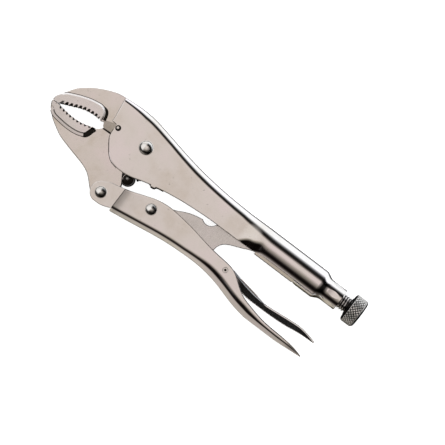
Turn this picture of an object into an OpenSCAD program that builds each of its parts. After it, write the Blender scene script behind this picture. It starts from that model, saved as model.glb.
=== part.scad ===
// Curved-jaw locking pliers with a wire cutter, closed and locked, lying on one flat side.
// +X runs from the jaws to the adjusting knob, +Y towards the upper handle's back, +Z up.
// Every shape is drawn from the main rivet's centre at mid thickness, and placed at the end.

/* [Overall] */
// Tip of the jaws, from the main rivet
tip_x = -68.5; // [-80:0.5:-60]
// End of the adjusting knob, from the main rivet
knob_end = 179; // [165:0.5:195]
// Thickness of the pressed sheet
sheet = 2; // [1.5:0.1:2.6]
// Highest point of the upper handle's back
back_top = 19.4; // [17:0.1:22]

/* [Pivots] */
// Jaw rivet, from the main rivet
p_jaw = [-6.2, -41.1]; // [-60:0.1:60]
// Link rivet, from the main rivet
p_link = [27, -30.2]; // [-60:0.1:60]
// Release lever's pin, from the main rivet
p_lever = [90, -32.5]; // [-60:0.1:120]
// End of the toggle link, where it bears on the screw
p_end = [118, -2.5]; // [-60:0.1:140]
// Shank radius of the main rivet
main_r = 3.2; // [2.5:0.1:4]
// Shank radius of the jaw rivet
jaw_pin_r = 2.6; // [2:0.1:3.5]
// Shank radius of the link rivet
link_pin_r = 2.5; // [2:0.1:3.5]
// Radius of the lever's pin
lever_pin_r = 1.8; // [1.2:0.1:2.5]
// Radial clearance of a running pin
run = 0.06; // [0.03:0.01:0.1]

/* [Jaws] */
// Thickness over the raised toothed pads of the jaws
pad_t = 14; // [12:0.1:15]
// Thickness of the lower jaw
low_t = 11; // [9:0.1:13]
// Pitch of the teeth
tooth = 2.85; // [2:0.05:4]
// Depth of the teeth
tooth_d = 1.25; // [0.6:0.05:2]

/* [Handles] */
// Gap between the upper handle's cheeks
up_gap = 11.6; // [10:0.1:13]
// Gap between the lower handle's ears
ear_gap = 11.6; // [10:0.1:13]
// Gap between the sides of the lower handle behind the ears
low_gap = 7.4; // [6:0.1:9]
// Outer radius of the bend along each handle's back
bend = 3.6; // [2.5:0.1:5]
// Thickness of the toggle link
link_t = 6.6; // [4:0.1:7]
// Width of the release lever
lever_w = 6.6; // [4:0.1:7]

/* [Tube and screw] */
// Height of the tube's axis
axis_y = -2.5; // [-5:0.1:0]
// Diameter of the tube
tube_d = 19.8; // [17:0.1:23]
// Where the tube's shoulder starts
shoulder_x = 144.5; // [135:0.5:150]
// End of the crimped neck
neck_end = 162.5; // [155:0.5:166]
// Diameter of the crimped neck
neck_d = 15.5; // [13:0.1:18]
// Thread's outer diameter
thread_d = 10.6; // [8:0.1:12]
// Thread's pitch
pitch = 1.75; // [1:0.05:2.5]
// Diameter of the knob
knob_d = 20.6; // [17:0.1:24]
// Length of the knob
knob_l = 10; // [7:0.5:14]
// Space between the link's end and the screw's nose
nose_gap = 2.9; // [1:0.1:4]

/* [Spring] */
// Peg on the lower jaw that holds the front loop
hook = [2.6, -23.7]; // [-60:0.1:60]
// Tab in the upper handle that holds the rear loop
anchor = [23.2, 0.8]; // [-60:0.1:60]
// Radius of the coil to the wire's centre
coil_r = 2.4; // [2:0.1:3.2]
// Radius of the front loop to the wire's centre
loop_r = 4.3; // [4.1:0.1:5]
// Radius of the wire
wire_r = 0.75; // [0.4:0.05:0.9]

/* [Hidden] */
$fn = 64;
e = 0.01;
up_w = up_gap + 2 * sheet;
ear_w = ear_gap + 2 * sheet;
low_w = low_gap + 2 * sheet;
STEEL = [0.80, 0.79, 0.77];

// A path of straight runs [length, 0] and arcs [turn in degrees, radius], left turns positive.
// A state is [x, y, heading].
function arc_to(s, a, r) = let (h = s[2] + a, k = sign(a) * r)
    [s[0] + k * (sin(h) - sin(s[2])), s[1] - k * (cos(h) - cos(s[2])), h];
function run_to(s, l) = [s[0] + l * cos(s[2]), s[1] + l * sin(s[2]), s[2]];
function step(s, g, f = 1) = g[1] == 0 ? run_to(s, g[0] * f) : arc_to(s, g[0] * f, g[1]);
function state(s, path, i) = i == 0 ? s : step(state(s, path, i - 1), path[i - 1]);
// The path's points, moved by n to its outward side (1 left, -1 right).
function edge(s, path, side, n, m = 8) = [for (i = [0 : len(path) - 1]) for (k = [0 : m])
    let (q = step(state(s, path, i), path[i], k / m))
    [q[0] - side * n * sin(q[2]), q[1] + side * n * cos(q[2])]];

// The upper handle's back starts rising, turns over its top and runs down into the tube.
UP = [[-20.5, 80], [20.5, 0], [10, 300], [10, 0]];
up_rise = 9;
UP0 = [-28.5, back_top - 80 * (1 - cos(up_rise)), up_rise];
// The lower handle's back, from behind the ears to the tail.
LOW = [[28, 0], [-9.5, 200], [-17, 95], [6, 0], [17, 95], [3.5, 350], [14, 0]];
LOW0 = [6.5, -47.4, 9.5];
low_bottom = state(LOW0, LOW, 5)[1];

// Everything goes to the frame with its origin under the middle of the box.
module place() {
    translate([-(tip_x + knob_end) / 2, -(back_top + low_bottom) / 2, knob_d / 2]) children();
}

// Half of a U section from its open edge to its back: half width w, back at t, open edge at b, bend r.
function half_u(w, t, b, r) = concat(
    [for (k = [0 : 3]) [w, b + (t - r - b) * k / 4]],
    [for (a = [0 : 18 : 90]) [w - r + r * cos(a), t - r + r * sin(a)]]);
// The same number of points round a tube, from the seam to the top.
function half_ring(r) = [for (a = [154, 132, 110, 90, 74, 62, 50, 38, 26, 14]) [r * sin(a), axis_y + r * cos(a)]];
function mix(p, q, f) = [for (i = [0 : len(p) - 1]) p[i] * (1 - f) + q[i] * f];
function ease(x, x0, x1) = let (f = max(0, min(1, (x - x0) / (x1 - x0)))) f * f * (3 - 2 * f);
// A closed loop from the outer and inner halves, each mirrored about z = 0.
function loop(outer, inner) = concat(outer, [for (q = back(outer)) [-q[0], q[1]]],
    [for (q = inner) [-q[0], q[1]]], back(inner));
// A bent sheet through loops of [z, y] points, one at each x.
module skin(xs, loops) {
    m = len(loops[0]);
    n = len(xs);
    q = m / 4;
    polyhedron(
        points = [for (i = [0 : n - 1]) for (p = loops[i]) [xs[i], p[1], p[0]]],
        faces = concat(
            [for (i = [0 : n - 2]) for (k = [0 : m - 1]) let (a = i * m + k, b = i * m + (k + 1) % m)
                each [[a, b, b + m], [a, b + m, a + m]]],
            [for (k = [0 : 2 * q - 2]) each [[k, m - 1 - k, m - 2 - k], [k, m - 2 - k, k + 1]]],
            [for (k = [0 : 2 * q - 2]) let (o = (n - 1) * m)
                each [[o + k, o + m - 2 - k, o + m - 1 - k], [o + k, o + k + 1, o + m - 2 - k]]]));
}
module slab(t) {
    translate([0, 0, -t / 2]) linear_extrude(t) children();
}
module cheeks(gap) {
    for (s = [-1, 1]) translate([0, 0, s * (gap + sheet) / 2]) slab(sheet) children();
}
module bore(p, r, h = 30) {
    translate([p[0], p[1], -h / 2]) cylinder(r = r, h = h);
}
module along_x(x0) {
    translate([x0, axis_y, 0]) rotate([0, 90, 0]) children();
}

// Teeth along a line of points: each tooth is a point on the line and a root behind it.
function lerp_y(line, x, i = 0) = i >= len(line) - 2 || x <= line[i + 1][0]
    ? line[i][1] + (line[i + 1][1] - line[i][1]) * (x - line[i][0]) / (line[i + 1][0] - line[i][0])
    : lerp_y(line, x, i + 1);
function teeth(line, into) = let (x0 = line[0][0], n = floor((line[len(line) - 1][0] - x0) / tooth))
    [for (i = [0 : n - 1]) for (k = [0, 1]) let (x = x0 + (i + k * 0.6) * tooth)
        [x, lerp_y(line, x) + into * k * tooth_d]];
function back(list) = [for (i = [len(list) - 1 : -1 : 0]) list[i]];

UP_GRIP = [[-64, -11], [-60, -9.5], [-56, -7.9], [-52, -6.1], [-48, -4.7], [-44, -4], [-40, -3.7], [-37, -3.8]];
LOW_GRIP = [[-63, -11.8], [-58, -12.4], [-53, -12.9], [-49, -12.9], [-44, -12.4], [-40, -11.4], [-36, -10]];

module upper_jaw_outline() {
    polygon(concat(
        [[tip_x, -11.3], [tip_x + 0.5, -8], [-66, -5], [-63.5, -1], [-60, 4], [-56, 7.5], [-52, 10.5],
         [-48, 12.8], [-44, 14.8], [-40, 16.5], [-36, 17.8], [-31, 18.4], [-28.7, 18.4], [-28.7, 16.2]],
        [for (x = [-26 : 4 : -6]) [x, back_top - sheet - 0.2 - pow((x + 16) / 12.65, 2)]],
        [[-5, 12.5], [-7, 10.2], [-10.5, 6], [-12.2, -0.5], [-16, -3.4], [-24.4, -5.8], [-30.6, -6.3],
         [-31.6, -5], [-32.6, -3], [-35.5, -3.8]],
        back(teeth(UP_GRIP, 1)), [[-64.6, -11.3]]));
}
module upper_jaw() color(STEEL) place() {
    difference() {
        union() {
            slab(up_gap) upper_jaw_outline();
            // raised pad behind the teeth
            intersection() {
                slab(pad_t) upper_jaw_outline();
                slab(2 * pad_t) polygon([[-70, -12], [-70, -9], [-65, -4.4], [-63, -3], [-59.6, -1.4],
                    [-55.6, 0.4], [-51.6, 1.9], [-47.8, 3.1], [-44, 3.8], [-40.3, 4.2], [-38, 3.4],
                    [-36.2, 1.6], [-35.3, -0.4], [-34.6, -4], [-36, -12]]);
            }
        }
        bore([0, 0], 12.3);
        // the cutter's edge is ground to a ridge at mid thickness
        for (s = [-1, 1]) translate([-33, -6.2, s * 0.8]) rotate([-s * 30, 0, 4])
            translate([0, -8, s > 0 ? 0 : -8]) cube([16, 8, 9]);
    }
}

module lower_jaw_outline() {
    circle(r = 11.5);
    translate(p_jaw) circle(r = 6.8);
    polygon(concat(teeth(LOW_GRIP, -1),
        [[-34.2, -10.2], [-31, -7.8], [-24.5, -6.4], [-12.5, -3.4], [-8, 0], [11, -2.8], [8.5, -8],
         [3, -15], [-2.5, -22.5], [1.5, -28.7], [2, -33], [0.5, -39], [-10.6, -46.2], [-12.4, -44.6],
         [-14, -43.2], [-16, -41.3], [-20, -37.8], [-22, -36.3], [-26, -34.5], [-30, -33.3], [-41, -30.5],
         [-50, -28], [-54, -26], [-58, -23.7], [-62, -21], [-64, -19], [-66, -17], [-67.5, -15],
         [tip_x, -12.4], [tip_x + 0.3, -11.7]]));
}
module lower_jaw() color(STEEL) place() {
    difference() {
        union() {
            difference() {
                slab(low_t) lower_jaw_outline();
                bore(hook, 5.6);
            }
            // raised pad behind the teeth
            intersection() {
                slab(pad_t) lower_jaw_outline();
                slab(2 * pad_t) polygon([[-70, -10], [-70, -14], [-65.4, -17.6], [-61.6, -19.5],
                    [-56, -20.1], [-50, -20.4], [-44.2, -20], [-40.6, -19], [-37.9, -17.6],
                    [-36.5, -15.4], [-35.5, -12.5], [-34.6, -10.6], [-34, -5]]);
            }
            // peg and web that hold the spring's front loop
            bore(hook, 3.2, 7);
            translate([-5, hook[1] - 2.2, -1.2]) cube([7, 4.4, 2.4]);
        }
        bore([0, 0], main_r + run);
        bore(p_jaw, jaw_pin_r + run);
        for (s = [-1, 1]) translate([-31, -7.8, s * 0.8]) rotate([s * 30, 0, 13])
            translate([0, 0, s > 0 ? 0 : -8]) cube([17.5, 9, 8]);
    }
}

module upper_side() {
    difference() {
        polygon([[-31, 30], [-30.2, 17], [-29.4, 12], [-28.1, 4], [-28, 0.6], [-24, 0.4], [-24.4, -1.4],
            [-24.3, -6], [-22.4, -10.5], [-20, -13.6], [-17, -18], [-13, -21], [-8, -22], [-2, -22], [4, -21],
            [8, -19.8], [16, -17.8], [17.5, -17.4], [17.7, -18.6], [20.4, -18.1],
            [20.6, -16.9], [24, -16.3], [32, -14.8], [40, -13.8], [48, -13.1], [54, -12.6],
            [60, -12.2], [86, -12.1], [92, -15], [110, -15], [110, 30]]);
        translate([-22.5, -0.7]) circle(r = 2);
    }
}
UP_EDGE = edge(UP0, UP, 1, 0);
function up_loop(x) = let (
        t = lerp_y(UP_EDGE, x), f = ease(x, 74, 96), in = 0.2 * ease(x, 94, 98),
        b = -24 + 10 * ease(x, 10, 60))
    loop(mix(half_u(up_w / 2, t, b, bend), half_ring(tube_d / 2 - in), f),
        mix(half_u(up_gap / 2, t - sheet, b, bend - sheet), half_ring(tube_d / 2 - sheet + in), f));
module upper_handle() color(STEEL) place() {
    xs = concat([-31.5, -26, -21, -16, -11, -6, -1, 4, 12, 20, 28, 36, 46, 56, 68], [for (x = [74 : 3 : 98]) x], [99.5]);
    difference() {
        union() {
            intersection() {
                skin(xs, [for (x = xs) up_loop(x)]);
                slab(40) upper_side();
            }
            difference() {
                union() {
                    along_x(98) cylinder(d = tube_d, h = shoulder_x - 98);
                    along_x(shoulder_x) cylinder(d1 = tube_d, d2 = neck_d, h = 5.5);
                    along_x(shoulder_x + 5.5) cylinder(d = neck_d, h = neck_end - shoulder_x - 5.5);
                }
                along_x(90) cylinder(d = tube_d - 2 * sheet, h = shoulder_x - 90);
                along_x(shoulder_x) cylinder(d1 = tube_d - 2 * sheet, d2 = 12.6, h = 5.5);
                along_x(shoulder_x + 5.5) cylinder(d = 12.6, h = 40);
                translate([90, axis_y - 20, -3.9]) cube([39, 20, 7.8]);
                for (i = [0 : 7]) along_x((shoulder_x + 5.5 + neck_end) / 2 + 0.5)
                    rotate([0, 0, i * 45 + 4]) translate([0, neck_d / 2 + 4.3, 0]) sphere(r = 5);
            }
            // tab that holds the spring's rear hook
            bore(anchor, 1.1, up_gap + sheet);
        }
        bore([0, 0], main_r + 0.02);
    }
}

module lower_side() {
    polygon([[4, -25], [4, -30], [8, -29], [12, -27.7], [16, -26], [20, -24.7], [24, -23.5], [30, -22.2],
         [36, -21.6], [42, -22], [54, -23.2], [66, -25.3], [76, -26.9], [86, -27.8], [90, -28.2], [94, -29.3],
         [97, -30.6], [100, -32.8], [104, -35.7], [108, -38.4], [111, -39.6], [118, -41.6], [124, -43],
         [130, -44.1], [136, -44.6], [148, -45], [154, -45.6], [163.2, -46.9], [163.9, -47.6], [163.9, -60],
         [4, -60]]);
}
LOW_EDGE = edge(LOW0, LOW, -1, 0);
function low_loop(x) = let (t = -lerp_y(LOW_EDGE, x), f = ease(x, 5.2, 9.2), b = 18, in = 0.15 * (1 - ease(x, 5, 7)))
    [for (q = back(loop(half_u(ear_w / 2 * (1 - f) + low_w / 2 * f - in, t, b, bend),
        half_u(ear_gap / 2 * (1 - f) + low_gap / 2 * f + in, t - sheet, b, bend - sheet)))) [q[0], -q[1]]];
module lower_handle() color(STEEL) place() {
    xs = concat([4.4, 5.2, 6.2, 7.2, 8.2, 9.2, 16, 25, 33], [for (x = [40 : 7 : 96]) x],
        [for (x = [101 : 5 : 131]) x], [138, 150, 165]);
    difference() {
        union() {
            intersection() {
                skin(xs, [for (x = xs) low_loop(x)]);
                slab(40) lower_side();
            }
            cheeks(ear_gap) {
                translate(p_jaw) circle(r = 7.4);
                polygon([[-12.6, -38.5], [-9.5, -34.2], [-6, -32.5], [0, -31], [5.5, -29.6], [5.5, -45.4],
                         [0, -47.2], [-6, -47.9]]);
            }
        }
        bore(p_jaw, jaw_pin_r + 0.02);
        bore(p_link, link_pin_r + 0.02);
        bore(p_lever, lever_pin_r + 0.02);
    }
}

module toggle_link() color(STEEL) place() {
    difference() {
        union() {
            bore(p_link, 6, link_t);
            bore(p_end, 3.5, link_t);
            slab(link_t) polygon([[27, -25.4], [32, -23.4], [40, -21], [44, -19], [50, -16.5], [56, -14.5],
                [62, -13.2], [67.5, -12.3], [74, -9], [84, -5], [96, -2], [108, -0.4], [117.5, 0.2],
                [117.5, -5.2], [104, -9.6], [94, -12.8], [90, -14.7], [86, -16.3], [82, -18], [78.5, -20.3],
                [77.3, -22], [76.3, -24.5], [76, -26.7], [72, -28.4], [60, -31], [45, -33.4], [29, -34.8]]);
        }
        bore([61.8, -10.4], 5.8);
        bore(p_link, link_pin_r + run);
    }
}

module release_lever() color(STEEL) place() {
    difference() {
        union() {
            slab(lever_w) polygon([[77, -30.6], [82, -29.6], [88, -29.1], [93, -29], [100, -30.2], [106, -31.3],
                [112, -32.3], [118, -33.2], [124, -34.6], [130, -34.2], [136, -33.6], [142, -33], [148, -32.6],
                [152, -32.2], [156, -32.7], [160, -33.3], [165.7, -34.7], [165.3, -35.6], [162, -35.3], [156, -36],
                [150, -36.9], [144, -37.8], [134, -38.6], [122, -38.7], [111.5, -38.4], [104, -37], [97, -35.6],
                [93, -35.9], [88, -35.9], [83, -34.2], [77, -32.2]]);
            translate([77.2, -31.4]) slab(lever_w) circle(r = 0.9);
        }
        slab(lever_w - 3.2) polygon([[95, -45], [95, -32.4], [106, -33.1], [118, -35], [124, -36.3], [136, -35.4],
            [152, -34], [160, -35], [166, -45]]);
        bore(p_lever, lever_pin_r + run);
    }
}

nose_x = p_end[0] + 3.5 + nose_gap;
module screw_nose() color(STEEL) place() {
    along_x(0) rotate_extrude() polygon(concat([[0, nose_x]],
        [for (a = [15 : 15 : 90]) [4.4 * sin(a), nose_x + 1.6 * (1 - cos(a))]],
        [[4.4, nose_x + 5], [0, nose_x + 5]]));
}
knob_x = knob_end - knob_l;
module screw_shank() color(STEEL) place() {
    n = floor((knob_x - 1.2 - nose_x - 6) / pitch);
    along_x(0) rotate_extrude() polygon(concat(
        [[0, nose_x + 5], [4.5, nose_x + 5], [4.5, nose_x + 6]],
        [for (i = [0 : n - 1]) for (q = [[4.55, 0.1], [thread_d / 2, 0.75], [thread_d / 2, 1], [4.55, 1.65]])
            [q[0], nose_x + 6 + i * pitch + q[1]]],
        [[4.5, knob_x], [0, knob_x]]));
}
module screw_knob() color(STEEL) place() {
    k = knob_d / 2;
    difference() {
        along_x(0) rotate_extrude() polygon([[0, knob_x], [6.5, knob_x], [k - 1.6, knob_x + 0.6], [k, knob_x + 2],
            [k, knob_end - 1.6], [k - 1.4, knob_end], [0, knob_end]]);
        for (i = [0 : 35]) along_x(knob_x - 1) rotate([0, 0, i * 10]) translate([k + 0.12, 0, 0])
            cylinder(r = 0.62, h = knob_l + 2, $fn = 4);
    }
}
module screw_nut() color([0.7, 0.69, 0.66]) place() {
    along_x(shoulder_x + 6) difference() {
        cylinder(d = 12.56, h = neck_end - shoulder_x - 6.4);
        translate([0, 0, -1]) cylinder(r = thread_d / 2 + run, h = 30);
    }
}

module return_spring() color([0.55, 0.54, 0.52]) place() {
    d = anchor - hook;
    l = norm(d);
    front = loop_r + 0.9;
    back_end = l - 3;
    n = floor((back_end - front) / 1.75);
    p = (back_end - front) / n;
    translate([hook[0], hook[1], 0]) rotate([0, 0, atan2(d[1], d[0])]) {
        rotate([0, 90, 0]) rotate_extrude() {
            for (i = [0 : n]) translate([coil_r, front + i * p]) circle(r = wire_r);
            translate([coil_r - 0.2, front]) square([0.4, back_end - front]);
        }
        translate([0, 0, coil_r]) rotate_extrude() translate([loop_r, 0]) circle(r = wire_r);
        translate([back_end, coil_r, 0]) rotate([90, 0, 0]) cylinder(r = wire_r - 0.05, h = 2 * coil_r);
        translate([l, 0, 0]) rotate_extrude() translate([coil_r, 0]) circle(r = wire_r - 0.1);
    }
}

// Rivet with a domed head on each side: p, shank radius, head radius, head height, outside width.
module rivet(p, r, hr, hh, w) {
    ball = (hr * hr + hh * hh) / (2 * hh);
    color(STEEL) place() translate([p[0], p[1], 0]) {
        translate([0, 0, -w / 2]) cylinder(r = r, h = w);
        for (s = [-1, 1]) intersection() {
            translate([0, 0, s * (w / 2 + hh - ball)]) sphere(r = ball, $fn = 96);
            translate([0, 0, s > 0 ? w / 2 : -w / 2 - 5]) cylinder(r = hr + 1, h = 5);
        }
    }
}
module main_rivet() rivet([0, 0], main_r, 4.4, 2, up_w);
module jaw_rivet() rivet(p_jaw, jaw_pin_r, 3.6, 1.5, ear_w);
module link_rivet() rivet(p_link, link_pin_r, 3.5, 1.4, low_w);
module lever_pin() color(STEEL) place() difference() {
    translate([p_lever[0], p_lever[1], -low_w / 2 - 0.2]) cylinder(r = lever_pin_r, h = low_w + 0.4);
    for (s = [-1, 1]) translate([p_lever[0], p_lever[1], s * (low_w / 2 + 0.2) - 0.5])
        cylinder(r = 0.8, h = 1);
}

upper_handle();
upper_jaw();
lower_jaw();
lower_handle();
toggle_link();
release_lever();
screw_nose();
screw_shank();
screw_knob();
screw_nut();
return_spring();
main_rivet();
jaw_rivet();
link_rivet();
lever_pin();
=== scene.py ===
"""Looks of a pair of curved-jaw locking pliers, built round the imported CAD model."""
from math import asin, atan2, copysign, cos, hypot, pi, radians, sin, tan

import bmesh
import bpy
import numpy as np
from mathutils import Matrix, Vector
from numpy.linalg import norm

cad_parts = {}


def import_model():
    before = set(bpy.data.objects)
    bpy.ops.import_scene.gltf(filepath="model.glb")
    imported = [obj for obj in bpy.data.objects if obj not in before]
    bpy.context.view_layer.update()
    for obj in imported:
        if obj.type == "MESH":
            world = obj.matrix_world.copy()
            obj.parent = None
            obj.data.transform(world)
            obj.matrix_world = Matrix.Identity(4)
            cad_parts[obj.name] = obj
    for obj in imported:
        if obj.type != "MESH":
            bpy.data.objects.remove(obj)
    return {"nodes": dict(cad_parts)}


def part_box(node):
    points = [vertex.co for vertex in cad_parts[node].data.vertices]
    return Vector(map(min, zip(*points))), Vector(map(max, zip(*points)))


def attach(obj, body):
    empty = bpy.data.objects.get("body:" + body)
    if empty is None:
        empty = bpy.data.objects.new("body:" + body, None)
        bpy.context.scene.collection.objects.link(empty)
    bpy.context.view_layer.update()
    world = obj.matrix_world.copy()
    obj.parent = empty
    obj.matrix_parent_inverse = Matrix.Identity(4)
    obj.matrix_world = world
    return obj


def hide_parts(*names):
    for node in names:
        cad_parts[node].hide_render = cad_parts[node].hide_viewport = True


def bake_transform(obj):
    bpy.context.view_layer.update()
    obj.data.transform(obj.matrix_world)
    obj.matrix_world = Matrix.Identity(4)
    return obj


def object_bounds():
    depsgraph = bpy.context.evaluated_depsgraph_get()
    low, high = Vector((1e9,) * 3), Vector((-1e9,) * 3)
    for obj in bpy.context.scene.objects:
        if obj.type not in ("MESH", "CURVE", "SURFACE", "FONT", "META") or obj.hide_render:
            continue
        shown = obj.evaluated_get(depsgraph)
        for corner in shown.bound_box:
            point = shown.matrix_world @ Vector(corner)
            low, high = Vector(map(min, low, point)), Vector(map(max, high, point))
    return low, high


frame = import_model()
cad_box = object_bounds()

# Everything below is in millimetres from the main rivet's centre at mid thickness:
# +X to the knob, +Y to the upper handle's back, +Z up.
MM = 0.001


def middle(node):
    lo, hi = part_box(node)
    return (lo + hi) / 2


ORIGIN = middle("main_rivet")


def local(v):
    """A point of the frame, in millimetres from the main rivet."""
    return (np.array(v) - np.array(ORIGIN)) / MM


def world(p):
    return Vector((ORIGIN.x + p[0] * MM, ORIGIN.y + p[1] * MM, ORIGIN.z + p[2] * MM))


def corners(node):
    return [local(v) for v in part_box(node)]


P_JAW = local(middle("jaw_rivet"))
P_LINK = local(middle("link_rivet"))
P_LEVER = local(middle("lever_pin"))
AXIS_Y = local(middle("screw_nut"))[1]
AXIS = (0, AXIS_Y, 0)
TIP_X = corners("upper_jaw")[0][0]
KNOB, SHANK = corners("screw_knob"), corners("screw_shank")
NOSE, UPPER = corners("screw_nose"), corners("upper_handle")
LOW_EDGE = corners("lower_handle")[0][1]
SHEET = 2.0  # thickness of the handles' sheet
MAIN_HEAD, LINK_HEAD = 2.0, 1.4  # height of two rivets' heads over the sheet in the CAD
LOW_W = corners("link_rivet")[1][2] - LINK_HEAD  # outside of the lower handle
UP_W = corners("main_rivet")[1][2] - MAIN_HEAD  # outside of the upper handle's cheeks
CHEEK_IN = UP_W - SHEET  # their inside
LINK_X, _, LINK_T = corners("toggle_link")[1]
LEVER_W = corners("release_lever")[1][2]
PAD_Z = corners("upper_jaw")[1][2]
TUBE_R = UPPER[1][2]
NECK_R, NECK_X, SHOULDER_X = 7.75, UPPER[1][0], UPPER[1][0] - 18
OVAL = 1.04  # the tube is a little deeper than wide
SLOT_W = 4.4  # half the slot under the tube: its inner corners clear the link by 0.2
STOP_PIN = (-22.5, -0.7, 0)  # the small pin beside the cutter
PEG = (2.6, -23.7, 0)  # the lower jaw's peg, which holds the spring's hook
DARK_TILT = radians(26.5)  # a face leaning this far mirrors the dark card
POINT = 0.001  # radius where a turned profile meets its axis


# ------ materials
def new_material(name):
    m = bpy.data.materials.new(name)
    m.use_nodes = True
    nt = m.node_tree
    nt.nodes.clear()
    b = node(nt, "BsdfPrincipled")
    node(nt, "OutputMaterial", in_Surface=b.outputs["BSDF"])
    return m, nt, b


def feed(nt, n, inputs):
    """Sets or links inputs of a node, each by its name or its number."""
    for k, v in inputs.items():
        socket = n.inputs[int(k) if k.isdigit() else k.replace("_", " ")]
        if isinstance(v, bpy.types.NodeSocket):
            nt.links.new(v, socket)
        else:
            socket.default_value = v


def node(nt, kind, **values):
    """A shader node. The names that start with in_ are of its inputs."""
    n = nt.nodes.new("ShaderNode" + kind)
    for k, v in values.items():
        if not k.startswith("in_"):
            setattr(n, k, v)
    feed(nt, n, {k[3:]: v for k, v in values.items() if k.startswith("in_")})
    return n


def calc(nt, operation, *values):
    inputs = {"in_%d" % i: v for i, v in enumerate(values)}
    return node(nt, "Math", operation=operation, **inputs).outputs[0]


def blend(nt, kind, a, b, fac=1.0):
    return node(nt, "MixRGB", blend_type=kind, in_Fac=fac, in_Color1=a, in_Color2=b).outputs["Color"]


def ramp(nt, source, stops):
    r = node(nt, "ValToRGB", in_Fac=source)
    el = r.color_ramp.elements
    while len(el) > 1:
        el.remove(el[-1])
    el[0].position, el[0].color = stops[0][0], (*stops[0][1], 1)
    for pos, col in stops[1:]:
        el.new(pos).color = (*col, 1)
    return r.outputs["Color"]


def greys(nt, source, stops):
    return ramp(nt, source, [(pos, (v, v, v)) for pos, v in stops])


def noise(nt, scale, detail, rough, stretch=(1, 1, 1), turn=0.0):
    place = node(nt, "TexCoord").outputs["Object"]
    place = node(nt, "Mapping", in_Vector=place, in_Scale=stretch, in_Rotation=(0, 0, turn)).outputs[0]
    n = node(nt, "TexNoise", in_Vector=place, in_Scale=scale, in_Detail=detail, in_Roughness=rough)
    return n.outputs["Fac"]


def plated(name, base, dark, rough, brushed=(1, 1, 1), turn=0.0, grain=0.04, wave=0.05):
    """Bright plating: slow colour drift, fine grain, faint brushing, small wear specks and soft waviness."""
    m, nt, b = new_material(name)
    bright = tuple(min(1, c * f) for c, f in zip(base, (1.05, 1.02, 1.06)))
    drift = ramp(nt, noise(nt, 38.0, 4.0, 0.55), [(0.34, dark), (0.5, base), (0.66, bright)])
    worn = greys(nt, noise(nt, 420.0, 5.0, 0.7), [(0.24, 0.5), (0.36, 1.0)])
    fine = noise(nt, 1500.0, 3.0, 0.65, brushed, turn)
    uneven = greys(nt, fine, [(0.3, rough * 0.75), (0.7, rough * 1.35)])
    bumps = node(nt, "Bump", in_Strength=grain, in_Distance=0.00006, in_Height=fine).outputs["Normal"]
    slow = noise(nt, 85.0, 2.0, 0.4)
    bumps = node(nt, "Bump", in_Strength=wave, in_Distance=0.0006, in_Height=slow, in_Normal=bumps)
    feed(nt, b, {"Base Color": blend(nt, "MULTIPLY", drift, worn), "Metallic": 1.0, "Roughness": uneven,
                 "Normal": bumps.outputs["Normal"]})
    return m


def grooved(name, low, high, deep=0.03, rough=0.2, tone=(0.96, 0.92, 0.91)):
    """Turned plating whose grooves get painted shade: darker the nearer they lie to the screw's axis."""
    m = plated(name, tone, tuple(0.89 * c for c in tone), rough, (1, 0.2, 0.2), grain=0.4)
    nt = m.node_tree
    place = node(nt, "SeparateXYZ", in_Vector=node(nt, "TexCoord").outputs["Object"]).outputs
    y = calc(nt, "SUBTRACT", place["Y"], ORIGIN.y + AXIS_Y * MM)
    z = calc(nt, "SUBTRACT", place["Z"], ORIGIN.z)
    far = calc(nt, "SQRT", calc(nt, "ADD", calc(nt, "MULTIPLY", y, y), calc(nt, "MULTIPLY", z, z)))
    groove_shade = node(nt, "MapRange", in_0=far, in_1=low * MM, in_2=high * MM, in_3=deep, in_4=1.0)
    colour = nt.nodes["Principled BSDF"].inputs["Base Color"]
    nt.links.new(blend(nt, "MULTIPLY", colour.links[0].from_socket, groove_shade.outputs["Result"]), colour)
    return m


# the knurl's and the thread's grooves get painted shade from their depth
KNURL_STEEL = grooved("knurled_steel", KNOB[1][2] - 0.46, KNOB[1][2] - 0.14, 0.01, 0.3, (0.99, 0.97, 0.95))
THREAD_STEEL = grooved("thread_steel", 4.6, 5.15)
# near black: dark steel, and the painted shade of the strips, lines and plates set where shade falls
DARK_SHADE_STEEL = plated("dark_steel_painted_shade", (0.02, 0.018, 0.016), (0.012, 0.011, 0.01), 0.3, grain=0.5)
SHEET_STEEL = plated("plated_sheet", (0.87, 0.835, 0.82), (0.795, 0.745, 0.70), 0.09, (0.15, 1, 1),
                     grain=0.2, wave=0.03)
JAW_STEEL = plated("forged_jaw", (0.85, 0.80, 0.77), (0.76, 0.70, 0.63), 0.17, grain=0.5, wave=0.09)
GRIP_STEEL = plated("ground_grip", (0.88, 0.84, 0.83), (0.82, 0.78, 0.77), 0.24, (0.2, 1, 1), 0.3, grain=0.6)
TURNED_STEEL = plated("turned_steel", (0.82, 0.80, 0.77), (0.70, 0.68, 0.65), 0.16, (1, 0.2, 0.2), grain=0.4)
RIVET_STEEL = plated("rivet_steel", (0.92, 0.90, 0.88), (0.84, 0.82, 0.80), 0.17, grain=0.3, wave=0.02)
LINK_STEEL = plated("link_plate", (0.80, 0.77, 0.76), (0.72, 0.69, 0.68), 0.24, (1, 0.2, 1), 0.35, grain=0.2)
LEVER_STEEL = plated("lever_sheet", (0.93, 0.94, 0.95), (0.87, 0.87, 0.87), 0.12, (0.15, 1, 1),
                     grain=0.2, wave=0.03)
# mid grey: the painted highlight on the spring peg's tip, the painted shade line on the lower pad, and the
# lever pin's seam
PEG_STEEL = plated("peg_steel", (0.34, 0.33, 0.31), (0.2, 0.2, 0.19), 0.35, grain=0.5)
LIP_STEEL = plated("slot_lip", (0.66, 0.63, 0.54), (0.56, 0.53, 0.45), 0.22, grain=0.4)
# near black: dark spring wire, deepened as painted shade under the cheek
SPRING_STEEL = plated("spring_wire", (0.10, 0.10, 0.10), (0.05, 0.05, 0.05), 0.3, grain=0.5)


# ------ mesh helpers
def put(name, data):
    o = bpy.data.objects.new(name, data)
    bpy.context.scene.collection.objects.link(o)
    return o


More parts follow.
